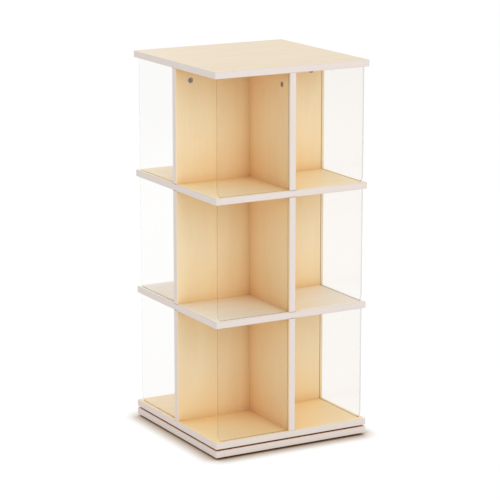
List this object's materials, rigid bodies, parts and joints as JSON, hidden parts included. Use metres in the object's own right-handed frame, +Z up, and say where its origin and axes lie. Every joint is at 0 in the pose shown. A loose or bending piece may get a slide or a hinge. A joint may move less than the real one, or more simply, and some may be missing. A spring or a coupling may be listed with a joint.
{
  "type": "rotating display rack",
  "caption": "Tall square birch plywood display rack that revolves on a low base: stacked tiers of cross-divided compartments, each with a clear pane on one face and open on the next.",
  "frame": {"origin": "on the floor, in the middle under the feet, on the axis that the rack turns about", "axes": "+Z up, along the axis of rotation; +X to the right and -Y to the front at rest. All four sides are alike, so the front is only a name."},
  "size_m": [0.45, 0.45, 1],
  "materials": {
    "birch_board": "birch plywood, clear satin lacquer",
    "birch_divider": "birch plywood, clear satin lacquer",
    "clear_acrylic": "clear cast acrylic, polished edges",
    "foot_rubber": "matt",
    "bearing_aluminium": "turned, satin",
    "cage_nylon": "matt",
    "bearing_steel": "polished steel balls",
    "zinc_screws": "zinc plated",
    "beech_dowel": "bare beech",
    "cam_zinc": "die-cast zinc, dull nickel"
  },
  "bodies": {
    "base": {"base_plate": "birch_board", "bearing_outer_ring": "bearing_aluminium", "outer_ring_screws": "zinc_screws", "foot_front_left": "foot_rubber", "foot_front_right": "foot_rubber", "foot_back_right": "foot_rubber", "foot_back_left": "foot_rubber", "foot_screws": "zinc_screws"},
    "ball_cage": {"bearing_ball_cage": "cage_nylon", "bearing_balls": "bearing_steel"},
    "carousel": {"bottom_board": "birch_board", "lower_shelf": "birch_board", "upper_shelf": "birch_board", "top_board": "birch_board", "lower_divider_left_right": "birch_divider", "lower_divider_front_back": "birch_divider", "middle_divider_left_right": "birch_divider", "middle_divider_front_back": "birch_divider", "upper_divider_left_right": "birch_divider", "upper_divider_front_back": "birch_divider", "lower_pane_front": "clear_acrylic", "lower_pane_right": "clear_acrylic", "lower_pane_back": "clear_acrylic", "lower_pane_left": "clear_acrylic", "middle_pane_front": "clear_acrylic", "middle_pane_right": "clear_acrylic", "middle_pane_back": "clear_acrylic", "middle_pane_left": "clear_acrylic", "upper_pane_front": "clear_acrylic", "upper_pane_right": "clear_acrylic", "upper_pane_back": "clear_acrylic", "upper_pane_left": "clear_acrylic", "bearing_inner_ring": "bearing_aluminium", "inner_ring_screws": "zinc_screws", "bottom_board_screws": "zinc_screws", "lower_shelf_dowels": "beech_dowel", "upper_shelf_dowels": "beech_dowel", "top_dowels": "beech_dowel", "cam_locks": "cam_zinc", "cam_bolts": "cam_zinc"}
  },
  "joints": [
    {"name": "carousel_spin", "type": "hinge", "parent": "base", "child": "carousel", "pos_m": [0, 0, 0.0235], "axis": [0, 0, 1], "continuous": true},
    {"name": "ball_cage_spin", "type": "hinge", "parent": "base", "child": "ball_cage", "pos_m": [0, 0, 0.0235], "axis": [0, 0, 1], "continuous": true}
  ],
  "couplings": [
    {"joint": "ball_cage_spin", "follows": "carousel_spin", "ratio": 0.5}
  ]
}
